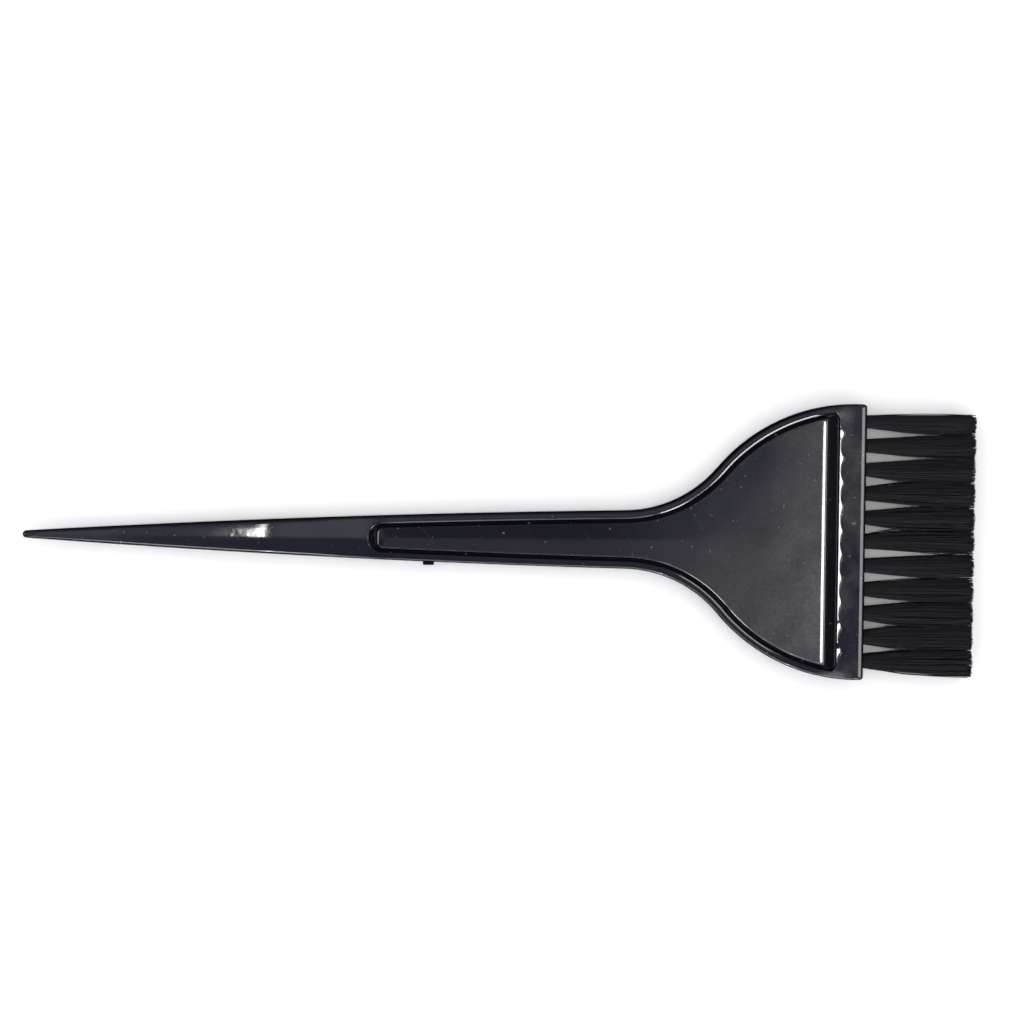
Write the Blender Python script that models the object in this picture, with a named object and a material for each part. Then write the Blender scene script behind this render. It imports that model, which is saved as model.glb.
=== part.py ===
"""Tint brush: a one-piece moulded handle whose wide head holds two rows of folded nylon tufts.

Each tuft is a bundle of filaments folded round a small metal anchor that is driven into a blind
hole in the head. The same shape is on the front and the back of the handle.

Metres. +X runs from the tail to the bristle tips, +Y across the head and +Z up from the face that
the brush lies on. The origin is under the middle of the brush, level with the head's underside.
Places along the brush are given as a distance from the tip of the tail, and x_at() turns them
into X.
"""

import math

import bmesh
import bpy
from mathutils import Matrix, Vector

MM = 0.001

# Whole brush
BRUSH_LENGTH = 215.0 * MM
BLOCK_THICKNESS = 9.0 * MM
MID_HEIGHT = BLOCK_THICKNESS / 2

# Plan outline of the handle: a bowed taper, a concave arc and a convex arc that meet tangent
TIP_RADIUS = 0.85 * MM
NECK_AT = 136.5 * MM
NECK_HALF_WIDTH = 6.58 * MM
TAPER_BOW = 0.75 * MM
FLARE_INNER_RADIUS = 27.9 * MM
FLARE_OUTER_RADIUS = 40.5 * MM
FLARE_ANGLE = math.radians(50.1)

# Thickness of the handle, as the distance of each face from the middle plane
TIP_HALF_THICKNESS = 0.9 * MM
CHANNEL_HALF_THICKNESS = 2.3 * MM
NECK_HALF_THICKNESS = 2.6 * MM
EDGE_CHAMFER = 0.5 * MM

# Block that holds the tufts, along the front edge of the head
BLOCK_FACE_AT = 190.2 * MM
BLOCK_DEPTH = 5.9 * MM
BLOCK_BACK_AT = BLOCK_FACE_AT - BLOCK_DEPTH
BLOCK_CORNER = 0.6 * MM

# Groove round the raised panel, on the front and on the back
RIM_WIDTH = 1.85 * MM
GROOVE_WIDTH = 0.8 * MM
GROOVE_AT_BLOCK = 2.2 * MM
GROOVE_DEPTH = 0.8 * MM
CHANNEL_START_AT = 78.5 * MM
GROOVE_END_WIDTH = 1.8 * MM
PANEL_CORNER = 1.2 * MM
GROOVE_CORNER = 1.3 * MM

# Gate mark left on one side edge by the moulding
GATE_AT = 91.9 * MM
GATE_LENGTH = 2.4 * MM
GATE_HEIGHT = 0.8 * MM
GATE_THICKNESS = 1.4 * MM

# Tufts and the holes that they sit in
TUFTS_PER_ROW = 11
TUFT_PITCH = 5.43 * MM
ROW_HEIGHTS = {"front": MID_HEIGHT + 2.0 * MM, "back": MID_HEIGHT - 2.0 * MM}
HOLE_RADIUS = 1.65 * MM
HOLE_DEPTH = 5.4 * MM
CLEARANCE = 0.3 * MM
TUFT_FOOT_GAP = 0.2 * MM
TUFT_TIP_HALF_WIDTH = TUFT_PITCH / 2 - CLEARANCE / 2
TUFT_TIP_HALF_THICKNESS = 1.85 * MM

# Flat metal anchor across each hole, near its bottom
ANCHOR_LENGTH = 3.9 * MM
ANCHOR_HEIGHT = 1.6 * MM
ANCHOR_THICKNESS = 0.45 * MM
ANCHOR_OFF_BOTTOM = 1.0 * MM
ANCHOR_CLEARANCE = 0.12 * MM

# Facets
SEGMENTS_PER_ARC = 7
TAPER_SEGMENTS = 7
CORNER_SEGMENTS = 3
HOLE_SIDES = 16
TUFT_SIDES = 12

# Values that follow from the ones above
NECK_SLOPE = math.atan((NECK_HALF_WIDTH - TIP_RADIUS - 4 * TAPER_BOW) / (NECK_AT - TIP_RADIUS))
INNER_CENTRE = Vector(
    (
        NECK_AT - FLARE_INNER_RADIUS * math.sin(NECK_SLOPE),
        NECK_HALF_WIDTH + FLARE_INNER_RADIUS * math.cos(NECK_SLOPE),
    )
)
INFLECTION = INNER_CENTRE + FLARE_INNER_RADIUS * Vector(
    (math.sin(FLARE_ANGLE), -math.cos(FLARE_ANGLE))
)
OUTER_CENTRE = INFLECTION + FLARE_OUTER_RADIUS * Vector(
    (math.sin(FLARE_ANGLE), -math.cos(FLARE_ANGLE))
)
PANEL_INSET = RIM_WIDTH + GROOVE_WIDTH
PANEL_END_AT = BLOCK_BACK_AT - GROOVE_AT_BLOCK
PANEL_START_AT = CHANNEL_START_AT + GROOVE_END_WIDTH


def clear_scene():
    for thing in list(bpy.data.objects):
        bpy.data.objects.remove(thing)


def x_at(along):
    """X of a place given by its distance from the tip of the tail."""
    return along - BRUSH_LENGTH / 2


def half_width(along, inset=0.0):
    """Half of the handle's width, or of an outline that lies inset from it."""
    neck_end = NECK_AT + inset * math.sin(NECK_SLOPE)
    inflection_end = INFLECTION.x + inset * math.sin(FLARE_ANGLE)
    if along <= neck_end:
        share = (along - TIP_RADIUS) / (NECK_AT - TIP_RADIUS)
        straight = TIP_RADIUS + (NECK_HALF_WIDTH - TIP_RADIUS) * share
        return straight + 4 * TAPER_BOW * share * (1 - share) - inset
    if along <= inflection_end:
        radius = FLARE_INNER_RADIUS + inset
        return INNER_CENTRE.y - math.sqrt(radius**2 - (along - INNER_CENTRE.x) ** 2)
    radius = FLARE_OUTER_RADIUS - inset
    behind_crest = max(OUTER_CENTRE.x - along, 0.0)
    return OUTER_CENTRE.y + math.sqrt(radius**2 - behind_crest**2)


def half_thickness(along):
    """Distance of the front face from the middle plane: a slow taper, then a wedge up to the block."""
    if along <= CHANNEL_START_AT:
        share = along / CHANNEL_START_AT
        return TIP_HALF_THICKNESS + (CHANNEL_HALF_THICKNESS - TIP_HALF_THICKNESS) * share
    if along <= NECK_AT:
        share = (along - CHANNEL_START_AT) / (NECK_AT - CHANNEL_START_AT)
        return CHANNEL_HALF_THICKNESS + (NECK_HALF_THICKNESS - CHANNEL_HALF_THICKNESS) * share
    share = min((along - NECK_AT) / (BLOCK_BACK_AT - NECK_AT), 1.0)
    return NECK_HALF_THICKNESS + (BLOCK_THICKNESS / 2 - NECK_HALF_THICKNESS) * share**2


def places_along(start, end, inset=0.0):
    """Places between start and end that follow the outline's taper and its two arcs evenly."""
    places = [start + (NECK_AT - start) * i / TAPER_SEGMENTS for i in range(TAPER_SEGMENTS)]
    for i in range(SEGMENTS_PER_ARC):
        angle = NECK_SLOPE + (FLARE_ANGLE - NECK_SLOPE) * i / SEGMENTS_PER_ARC
        places.append(INNER_CENTRE.x + (FLARE_INNER_RADIUS + inset) * math.sin(angle))
    for i in range(SEGMENTS_PER_ARC):
        angle = FLARE_ANGLE * (1 - i / SEGMENTS_PER_ARC)
        places.append(OUTER_CENTRE.x - (FLARE_OUTER_RADIUS - inset) * math.sin(angle))
    spacing = 0.2 * MM
    return [place for place in places if place < end - spacing] + [end]


def arc(centre, radius, first, last, segments):
    """Points of an arc in the plan, from the first angle to the last, in degrees."""
    points = []
    for i in range(segments + 1):
        angle = math.radians(first + (last - first) * i / segments)
        points.append(centre + radius * Vector((math.cos(angle), math.sin(angle))))
    return points


def mirrored_loop(side):
    """A closed plan loop from the points of its +Y side, given from the tail to the head."""
    return side + [Vector((point.x, -point.y)) for point in reversed(side)]


def material(name, colour, roughness, metallic):
    made = bpy.data.materials.new(name)
    made.use_nodes = True
    shader = made.node_tree.nodes["Principled BSDF"]
    shader.inputs["Base Color"].default_value = (*colour, 1.0)
    shader.inputs["Roughness"].default_value = roughness
    shader.inputs["Metallic"].default_value = metallic
    return made


def object_from(mesh_build, name, finish=None):
    """An object made from a bmesh, with its faces pointing out."""
    bmesh.ops.recalc_face_normals(mesh_build, faces=mesh_build.faces)
    mesh = bpy.data.meshes.new(name)
    mesh_build.to_mesh(mesh)
    mesh_build.free()
    if finish is not None:
        mesh.materials.append(finish)
    made = bpy.data.objects.new(name, mesh)
    bpy.context.scene.collection.objects.link(made)
    return made


def loft(rings):
    """A closed solid through rings of points, each ring with the same number of points."""
    build = bmesh.new()
    rows = [[build.verts.new(point) for point in ring] for ring in rings]
    build.faces.new(rows[0])
    build.faces.new(rows[-1])
    for row, following in zip(rows, rows[1:]):
        for i in range(len(row)):
            j = (i + 1) % len(row)
            build.faces.new((row[i], row[j], following[j], following[i]))
    return build


def add_box(build, centre, size):
    """Adds a box to a bmesh."""
    place = Matrix.Translation(centre) @ Matrix.Diagonal((*size, 1.0))
    bmesh.ops.create_cube(build, size=1.0, matrix=place)


def smooth_by_angle(thing, degrees):
    thing.data.shade_smooth()
    thing.data.set_sharp_from_angle(angle=math.radians(degrees))


def use_cutter(thing, cutter, operation):
    """Cuts or joins with another object, which is then only a guide."""
    modifier = thing.modifiers.new(cutter.name, "BOOLEAN")
    modifier.operation = operation
    modifier.object = cutter
    modifier.solver = "EXACT"
    cutter.hide_render = True
    cutter.display_type = "WIRE"


# Handle


def section(along, width, thickness):
    """One cross-section of the handle: a flat rectangle with its four long edges chamfered."""
    chamfer = min(EDGE_CHAMFER, 0.45 * min(width, thickness))
    corner = (
        (width, thickness - chamfer),
        (width - chamfer, thickness),
    )
    top = list(corner) + [(-y, z) for y, z in reversed(corner)]
    ring = top + [(y, -z) for y, z in reversed(top)]
    return [Vector((x_at(along), y, MID_HEIGHT + z)) for y, z in ring]


def tip_sections():
    """The rounded end of the tail, up to where the taper starts."""
    sections = []
    for degrees in (25, 45, 65):
        roundness = math.sin(math.radians(degrees))
        along = TIP_RADIUS * (math.cos(math.radians(25)) - math.cos(math.radians(degrees)))
        sections.append(section(along, TIP_RADIUS * roundness, TIP_HALF_THICKNESS * roundness))
    return sections


def block_corner_sections():
    """The last stretch of the head, whose corners are rounded in the plan."""
    sections = []
    for i in range(CORNER_SEGMENTS + 1):
        angle = math.pi / 2 * i / CORNER_SEGMENTS
        along = BLOCK_FACE_AT - BLOCK_CORNER * (1 - math.sin(angle))
        width = half_width(along) - BLOCK_CORNER * (1 - math.cos(angle))
        sections.append(section(along, width, half_thickness(along)))
    return sections


def make_handle(plastic):
    rings = tip_sections()
    places = places_along(TIP_RADIUS, BLOCK_BACK_AT)
    rings += [section(place, half_width(place), half_thickness(place)) for place in places]
    rings += block_corner_sections()
    handle = object_from(loft(rings), "handle", plastic)
    for side in (1, -1):
        use_cutter(handle, groove_cutter(side), "DIFFERENCE")
    use_cutter(handle, hole_cutter(), "DIFFERENCE")
    use_cutter(handle, anchor_slot_cutter(), "DIFFERENCE")
    use_cutter(handle, gate_mark(), "UNION")
    smooth_by_angle(handle, 30)
    return handle


def groove_outer_loop():
    """The groove's outline along the rim: round at the tail end, square with round corners at the block."""
    end_radius = half_width(CHANNEL_START_AT, RIM_WIDTH)
    end_centre = Vector((CHANNEL_START_AT + end_radius, 0.0))
    side = arc(end_centre, end_radius, 165, 90, 5)
    places = places_along(end_centre.x, BLOCK_BACK_AT - GROOVE_CORNER, RIM_WIDTH)[1:]
    side += [Vector((place, half_width(place, RIM_WIDTH))) for place in places]
    corner_centre = side[-1] - Vector((0.0, GROOVE_CORNER))
    side += arc(corner_centre, GROOVE_CORNER, 90, 0, CORNER_SEGMENTS)[1:]
    return mirrored_loop(side)


def panel_loop():
    """The raised panel's outline, inside the groove."""
    start_y = half_width(PANEL_START_AT, PANEL_INSET)
    corner_centre = Vector((PANEL_START_AT + PANEL_CORNER, start_y - PANEL_CORNER))
    side = arc(corner_centre, PANEL_CORNER, 180, 90, CORNER_SEGMENTS)
    places = places_along(corner_centre.x, PANEL_END_AT, PANEL_INSET)[1:]
    side += [Vector((place, half_width(place, PANEL_INSET))) for place in places]
    return mirrored_loop(side)


def groove_cutter(side):
    """A ring whose floor lies at the groove's depth under the front (1) or back (-1) face."""
    build = bmesh.new()
    edges = []
    for loop in (groove_outer_loop(), panel_loop()):
        corners = [build.verts.new((point.x, point.y, 0.0)) for point in loop]
        for i, corner in enumerate(corners):
            edges.append(build.edges.new((corner, corners[(i + 1) % len(corners)])))
    filled = bmesh.ops.triangle_fill(build, edges=edges, use_beauty=True)
    floor = [item for item in filled["geom"] if isinstance(item, bmesh.types.BMFace)]
    raised = bmesh.ops.extrude_face_region(build, geom=floor, use_keep_orig=True)
    lid = {item for item in raised["geom"] if isinstance(item, bmesh.types.BMVert)}
    for corner in build.verts:
        above_face = CLEARANCE if corner in lid else -GROOVE_DEPTH
        height = half_thickness(corner.co.x) + above_face
        corner.co = (x_at(corner.co.x), corner.co.y, MID_HEIGHT + side * height)
    return object_from(build, "groove_cutter_front" if side > 0 else "groove_cutter_back")


def tuft_places():
    """(row name, number from 1, Y, Z) of each tuft."""
    for row, height in ROW_HEIGHTS.items():
        for i in range(TUFTS_PER_ROW):
            yield row, i + 1, (i - (TUFTS_PER_ROW - 1) / 2) * TUFT_PITCH, height


def hole_cutter():
    """One round bar for each tuft's blind hole."""
    build = bmesh.new()
    bar_length = HOLE_DEPTH + CLEARANCE
    centre_x = x_at(BLOCK_FACE_AT - HOLE_DEPTH + bar_length / 2)
    turn = Matrix.Rotation(math.pi / 2, 4, "Y")
    for _, _, y, z in tuft_places():
        bmesh.ops.create_cone(
            build,
            cap_ends=True,
            segments=HOLE_SIDES,
            radius1=HOLE_RADIUS,
            radius2=HOLE_RADIUS,
            depth=bar_length,
            matrix=Matrix.Translation((centre_x, y, z)) @ turn,
        )
    return object_from(build, "hole_cutter")


def anchor_centre(y, z):
    bottom_at = BLOCK_FACE_AT - HOLE_DEPTH
    return Vector((x_at(bottom_at + ANCHOR_OFF_BOTTOM + ANCHOR_HEIGHT / 2), y, z))


def anchor_slot_size():
    gap = 2 * ANCHOR_CLEARANCE
    return (ANCHOR_HEIGHT + gap, ANCHOR_LENGTH + gap, ANCHOR_THICKNESS + gap)


def anchor_slot_cutter():
    """The slot that each anchor's two ends bite into the walls of its hole."""
    build = bmesh.new()
    for _, _, y, z in tuft_places():
        add_box(build, anchor_centre(y, z), anchor_slot_size())
    return object_from(build, "anchor_slot_cutter")


def gate_mark():
    """The small stub on the -Y edge where the plastic was let in."""
    build = bmesh.new()
    edge_y = -half_width(GATE_AT)
    sunk = GATE_HEIGHT
    size = (GATE_LENGTH, GATE_HEIGHT + sunk, GATE_THICKNESS)
    centre = Vector((x_at(GATE_AT), edge_y + (sunk - GATE_HEIGHT) / 2, MID_HEIGHT))
    add_box(build, centre, size)
    return object_from(build, "gate_mark")


# Tufts and anchors


def tuft_ring(along, half_y, half_z):
    """One oval ring of a tuft, round the tuft's own axis."""
    ring = []
    for i in range(TUFT_SIDES):
        angle = 2 * math.pi * (i + 0.5) / TUFT_SIDES
        ring.append(Vector((x_at(along), half_y * math.cos(angle), half_z * math.sin(angle))))
    return ring


def tuft_mesh(nylon):
    """One tuft: round in its hole, spreading to an oval at the tips, with the anchor's slot through it."""
    foot_at = BLOCK_FACE_AT - HOLE_DEPTH + TUFT_FOOT_GAP
    foot_radius = HOLE_RADIUS - CLEARANCE
    spread_y = TUFT_TIP_HALF_WIDTH - foot_radius
    spread_z = TUFT_TIP_HALF_THICKNESS - foot_radius
    rings = [tuft_ring(foot_at, foot_radius, foot_radius)]
    for share, spread in ((0.0, 0.0), (0.4, 0.6), (1.0, 1.0)):
        along = BLOCK_FACE_AT + (BRUSH_LENGTH - BLOCK_FACE_AT) * share
        ring = tuft_ring(along, foot_radius + spread_y * spread, foot_radius + spread_z * spread)
        rings.append(ring)
    whole = object_from(loft(rings), "whole_tuft", nylon)

    slot = bmesh.new()
    add_box(slot, anchor_centre(0.0, 0.0), anchor_slot_size())
    use_cutter(whole, object_from(slot, "tuft_slot_cutter"), "DIFFERENCE")
    bpy.context.view_layer.update()
    shape = whole.evaluated_get(bpy.context.evaluated_depsgraph_get())
    mesh = bpy.data.meshes.new_from_object(shape)
    for guide in (whole, bpy.data.objects["tuft_slot_cutter"]):
        bpy.data.objects.remove(guide)
    return mesh


def anchor_mesh(metal):
    build = bmesh.new()
    size = (ANCHOR_HEIGHT, ANCHOR_LENGTH, ANCHOR_THICKNESS)
    add_box(build, anchor_centre(0.0, 0.0), size)
    mesh = bpy.data.meshes.new("anchor")
    build.to_mesh(mesh)
    build.free()
    mesh.materials.append(metal)
    return mesh


def place_copy(mesh, name, y, z):
    made = bpy.data.objects.new(name, mesh)
    bpy.context.scene.collection.objects.link(made)
    made.location = (0.0, y, z)
    return made


def main():
    clear_scene()
    plastic = material("handle_plastic", (0.012, 0.012, 0.016), 0.22, 0.0)
    nylon = material("bristle_nylon", (0.014, 0.013, 0.016), 0.45, 0.0)
    metal = material("anchor_metal", (0.75, 0.73, 0.70), 0.35, 1.0)
    make_handle(plastic)
    tuft = tuft_mesh(nylon)
    tuft.shade_smooth()
    tuft.set_sharp_from_angle(angle=math.radians(35))
    anchor = anchor_mesh(metal)
    for row, number, y, z in tuft_places():
        place_copy(tuft, f"tuft_{row}_{number:02d}", y, z)
        place_copy(anchor, f"anchor_{row}_{number:02d}", y, z)


main()
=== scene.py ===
"""Looks for the tint brush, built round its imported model.

The handle is one fine mesh with rounded edges, a groove, a dished panel and blind holes. Each tuft
is separate nylon filaments folded round its anchor. The anchors stay as packed.
Places along the brush are distances from the tip of the tail, in metres.
"""

from math import asin, atan, copysign, cos, pi, radians, sin, sqrt, tan

import bmesh
import bpy
import numpy as np
from mathutils import Matrix, Vector


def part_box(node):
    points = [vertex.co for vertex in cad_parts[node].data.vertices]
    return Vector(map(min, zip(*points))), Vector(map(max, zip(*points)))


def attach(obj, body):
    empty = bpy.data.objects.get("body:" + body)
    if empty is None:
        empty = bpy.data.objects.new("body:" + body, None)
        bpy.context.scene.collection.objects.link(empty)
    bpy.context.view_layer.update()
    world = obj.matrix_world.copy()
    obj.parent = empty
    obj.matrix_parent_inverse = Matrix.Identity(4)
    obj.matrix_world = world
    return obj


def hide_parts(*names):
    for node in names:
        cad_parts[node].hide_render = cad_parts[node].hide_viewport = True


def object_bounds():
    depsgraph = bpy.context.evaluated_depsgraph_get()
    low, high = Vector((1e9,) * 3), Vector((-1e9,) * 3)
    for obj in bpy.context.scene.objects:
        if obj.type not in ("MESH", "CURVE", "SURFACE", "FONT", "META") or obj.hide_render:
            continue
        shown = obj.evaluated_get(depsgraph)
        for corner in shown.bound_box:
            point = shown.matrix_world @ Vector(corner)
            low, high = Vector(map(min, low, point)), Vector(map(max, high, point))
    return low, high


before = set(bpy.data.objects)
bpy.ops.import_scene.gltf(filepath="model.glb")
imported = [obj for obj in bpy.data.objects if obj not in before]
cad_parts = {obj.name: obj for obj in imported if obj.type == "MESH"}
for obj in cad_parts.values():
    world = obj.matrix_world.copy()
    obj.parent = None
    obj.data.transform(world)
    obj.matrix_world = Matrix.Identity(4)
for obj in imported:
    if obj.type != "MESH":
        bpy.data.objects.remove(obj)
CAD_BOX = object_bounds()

MM = 0.001

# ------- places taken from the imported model

HANDLE_LOW, HANDLE_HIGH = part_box("handle")
TAIL_X = HANDLE_LOW.x
BLOCK_FACE = HANDLE_HIGH.x - TAIL_X
BRISTLE_TIPS = CAD_BOX[1].x - TAIL_X
MID_HEIGHT = (HANDLE_LOW.z + HANDLE_HIGH.z) / 2
BLOCK_HALF_THICKNESS = (HANDLE_HIGH.z - HANDLE_LOW.z) / 2
TUFT_NODES, ANCHOR_NODES = (
    sorted(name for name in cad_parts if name.startswith(kind)) for kind in ("tuft", "anchor")
)

# ------- handle dimensions

TIP_RADIUS = 0.85 * MM
NECK = 136.5 * MM
NECK_HALF_WIDTH = 6.58 * MM
TAPER_BOW = 0.75 * MM
INNER_RADIUS = 27.9 * MM
OUTER_RADIUS = 40.5 * MM
FLARE_ANGLE = radians(50.1)

TIP_HALF_THICKNESS = 0.9 * MM
SHANK_HALF_THICKNESS = 2.3 * MM
NECK_HALF_THICKNESS = 2.6 * MM
TAIL_END = 55.5 * MM
TAIL_BEND = 1.5 * MM
TAIL_TOP_END = 76.0 * MM

BLOCK_DEPTH = 6.05 * MM
BLOCK_BACK = BLOCK_FACE - BLOCK_DEPTH
BLOCK_CORNER = 0.75 * MM

EDGE_DRAFT = 0.04 * MM
EDGE_RADIUS = 0.6 * MM
TAIL_EDGE_RADIUS = 0.85 * MM
TAIL_EDGE_END = 64 * MM
TAIL_EDGE_FADE = 10 * MM
# The edge fillet's largest share of the half width or thickness
EDGE_SHARE = 0.62
CROWN = 0.055
CROWN_FADE = 15 * MM

RIM_WIDTH = 1.85 * MM
GROOVE_WIDTH = 0.8 * MM
GROOVE_DEPTH = 0.95 * MM
GROOVE_AT_BLOCK = 2.75 * MM
BLOCK_GROOVE_DROP = 0.2 * MM
GROOVE_START = 78.5 * MM
GROOVE_END_WIDTH = 1.8 * MM
GROOVE_CORNER = 1.3 * MM
PANEL_CORNER = 1.2 * MM
PANEL_LEAST_CORNER = 0.5 * MM
PANEL_END_CORNER = 0.45 * MM
PANEL_EDGE = 0.36 * MM
PANEL_RECESS = 0.1 * MM
SHANK_DISH = 0.062
HEAD_DISH = 0.018
DISH_END = 14.0 * MM
LIP_SLOPE = tan(radians(14.4))
LIP_BACK = 1.17 * MM
LIP_LENGTH = 0.79 * MM
SLOPE_SOFTNESS = 0.12 * MM
SHANK_BEVEL = 0.5 * MM
HEAD_BEVEL = 0.75 * MM
BLOCK_BEVEL = 0.05 * MM
# Profile of the bevel along the groove's outer edge: distance outside it and fall, as shares
BEVEL_PROFILE = [
    *((1.0, 0.0), (0.88, 0.012), (0.76, 0.05), (0.7, 0.079), (0.28, 0.279)),
    *((0.22, 0.309), (0.16, 0.345), (0.05, 0.47), (0.0, 0.65)),
]
# Profile of the panel's edge: distance inside the edge and fall, as shares
PANEL_PROFILE = [
    *((0.0, 0.75), (0.05, 0.5), (0.16, 0.36), (0.24, 0.306), (0.3, 0.277)),
    *((0.66, 0.105), (0.72, 0.076), (0.8, 0.042), (0.9, 0.012), (1.0, 0.0)),
]
# Further rows of points on the panel, in millimetres inside its edge
PANEL_ROWS = (0.46, 0.6, 0.75, 0.9, 1.05, 1.11, 1.17, 1.27, 1.4, 1.6, 1.8, 1.95)
FLOOR_FILLET = 0.34 * MM
WALL_DRAFT = 0.05 * MM
SHOULDER_LENGTH = 0.78 * MM
SHOULDER_SLOPE = tan(radians(20.4))
SHOULDER_WAVE = 0.75
FRONT_SHOULDER = 0.9 * MM
FRONT_SLOPE = tan(radians(8.7))
PANEL_INSET = RIM_WIDTH + GROOVE_WIDTH
PANEL_START = GROOVE_START + GROOVE_END_WIDTH
PANEL_END = BLOCK_BACK - GROOVE_AT_BLOCK

TUFT_PITCH = 5.43 * MM
HOLE_RADIUS = 1.65 * MM
HOLE_DEPTH = 5.4 * MM
HOLE_END_RADIUS = 0.3 * MM
HOLE_MOUTH = 0.08 * MM
HOLE_SIDES = 40
SLOT_GAP = 0.12 * MM

GATE_AT = 91.9 * MM
GATE_LENGTH = 2.4 * MM
GATE_HEIGHT = 0.8 * MM
GATE_THICKNESS = 1.4 * MM
GATE_BEVEL = 0.16
GATE_FLARE = 0.12
GATE_ROUGHNESS = 0.045 * MM
GATE_SLANT = 0.2 * MM
GATE_SEED = 11

# Painted sheen on the head's panel, lighter patches standing in for reflections: it grows towards
# the block and towards the -Y side
SHEEN_START = 132 * MM
SHEEN_RISE = 52 * MM
SHEEN_SIDE = 24 * MM
SHEEN_LEAST = 0.22
SHEEN_SIDE_EXTRA = 0.58
SHEEN_END_START = 165 * MM
SHEEN_END_RISE = 17 * MM
SHEEN_END_EXTRA = 0.34
# Y and strength of the painted highlight at each rear corner of the block, where its faces slope
CORNER_HIGHLIGHTS = ((28.6 * MM, 0.8), (-30.2 * MM, 2.4))
# Share of the glossy skin that is missing at each place
DULL_TIP = 0.95
DULL_GROOVE = 0.85
DULL_CHANNEL_END = 0.6
# The shank's panel gets painted shade, partly as dark as the groove
SHANK_PAINTED_SHADE = 0.45
SHANK_PAINTED_SHADE_END = 125 * MM
SHANK_PAINTED_SHADE_FADE = 25 * MM

# ------- filament dimensions

TUFT_SEED = 500
FILAMENT_RADIUS = 0.1 * MM
FILAMENT_PITCH = 0.208 * MM
THICKNESS_RANGE = (0.92, 1.08)
FILAMENT_SIDES = 6
BUNDLE_RADIUS = 1.5 * MM
ROW_SPACING = 0.87 * FILAMENT_PITCH
# In millimetres
PLACE_JITTER = 0.018
ANCHOR_GAP = 0.36 * MM
CLOSE_GAP = 0.1 * MM
TURN_START = 0.12 * MM
TURN_DEPTH = 0.62 * MM
TURN_STEPS = 6
LEG_STEPS = 14
TIP_RAGGED = 0.12 * MM
TIP_RAGGED_MOST = 1.3 * MM
# Share of the filaments that were cut short, and by how many millimetres more
CUT_SHORT_SHARE = 0.04
CUT_SHORT = (0.15, 0.75)
BOW = 0.16 * MM
STRAY = 0.2 * MM
# Share of the filaments that stray further, and how many times as far
LOOSE_SHARE = 0.03
LOOSE_STRAY = 2.6
# Spread of the outermost filaments on the -Y side and on the +Y side
OUTER_SPREAD = (1.7 * MM, 0.05 * MM)
DEPTH_SPREAD = 0.62 * MM
# How far from the block each tuft meets its neighbours, from the -Y side to the +Y side; the first
# and the last are for the outermost tufts' free sides. In millimetres
CLOSINGS = (12.0, 11.0, 8.2, 11.0, 15.7, 25.0, 8.9, 14.1, 11.0, 15.9, 18.6, 12.0)

# Facet counts of the fine mesh, for each stretch of the outline
TIP_STEPS = 26
TAIL_STEPS = 56
BESIDE_STEPS = 14
END_STEPS = TIP_STEPS + BESIDE_STEPS
TAPER_STEPS = 44
INNER_STEPS = 22
OUTER_STEPS = 32
MITRE_STEPS = 4
CREST_STEPS = 4
BLOCK_CORNER_STEPS = 6
FACE_STEPS = 4
CORNER_STEPS = CREST_STEPS + BLOCK_CORNER_STEPS + FACE_STEPS
FILLET_STEPS = 6
MERGE_DISTANCE = 0.002 * MM
SHARP_ANGLE = radians(32)
RIM_SHARES = (0.0, 0.07, 0.14, 0.21, 0.35, 0.6, 0.73, 0.79, 0.84, 0.88, 0.92, 0.96, 1.0)

# ------- colours of the materials

# Ramps over the noise or the stored tone: place and colour
PLASTIC_TONES = [(0.3, (0.008, 0.0084, 0.0136)), (0.7, (0.013, 0.013, 0.0184))]
NYLON_TONES = [(0.0, (0.0034, 0.0032, 0.005)), (1.0, (0.0084, 0.0079, 0.0108))]
METAL_TONES = [(0.3, (0.36, 0.35, 0.33)), (0.7, (0.56, 0.55, 0.53))]
FLOOR_TONES = [(0.3, (0.9, 0.9, 0.9)), (0.7, (0.93, 0.93, 0.925))]
# Painted sheen: the lighter grey that stands in for reflections on the head's panel and block
PAINTED_SHEEN_COLOUR = (0.1, 0.1, 0.1, 1.0)
# Painted shade: a near-black colour standing in for the shade in the groove
PAINTED_GROOVE_SHADE = (0.0012, 0.0013, 0.0022, 1.0)
SCRATCH_COLOUR = (0.08, 0.08, 0.085, 1.0)
DUST_COLOUR = (0.16, 0.16, 0.165, 1.0)
STREAK_COLOUR = (0.0048, 0.0046, 0.006, 1.0)
SPECK_COLOUR = (0.04, 0.04, 0.043, 1.0)
TARNISH_COLOUR = (0.24, 0.22, 0.2, 1.0)

# ------- floor, light and camera settings

FLOOR_HALF_SIZE = 3.0
WARM = (1.0, 0.985, 0.95)
COOL = (0.93, 0.95, 1.1)

# Each light: name, place from the middle of the brush, size, radiance, colour if it isn't white
# Lights that face straight down, seen only in glossy reflections; sizes along X and Y
CEILING = [
    ("tube", (-0.226, -0.003, 1.18), (0.022, 0.142), 48.0),
    ("tube_side", (-0.243, -0.003, 1.18), (0.01, 0.11), 9.0),
    ("tube_end", (-0.222, 0.1, 1.18), (0.012, 0.09), 30.0),
    ("overhead", (0.29, 0.17, 1.2), (0.84, 0.5), 0.3, WARM),
    ("shank_overhead", (-0.135, 0.17, 1.19), (0.08, 0.5), 0.5, COOL),
    ("tip_overhead", (-0.41, 0.05, 1.19), (0.14, 0.7), 0.4, COOL),
    ("tail_overhead", (-0.44, 0.17, 1.2), (0.62, 0.5), 0.2, WARM),
]
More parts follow.
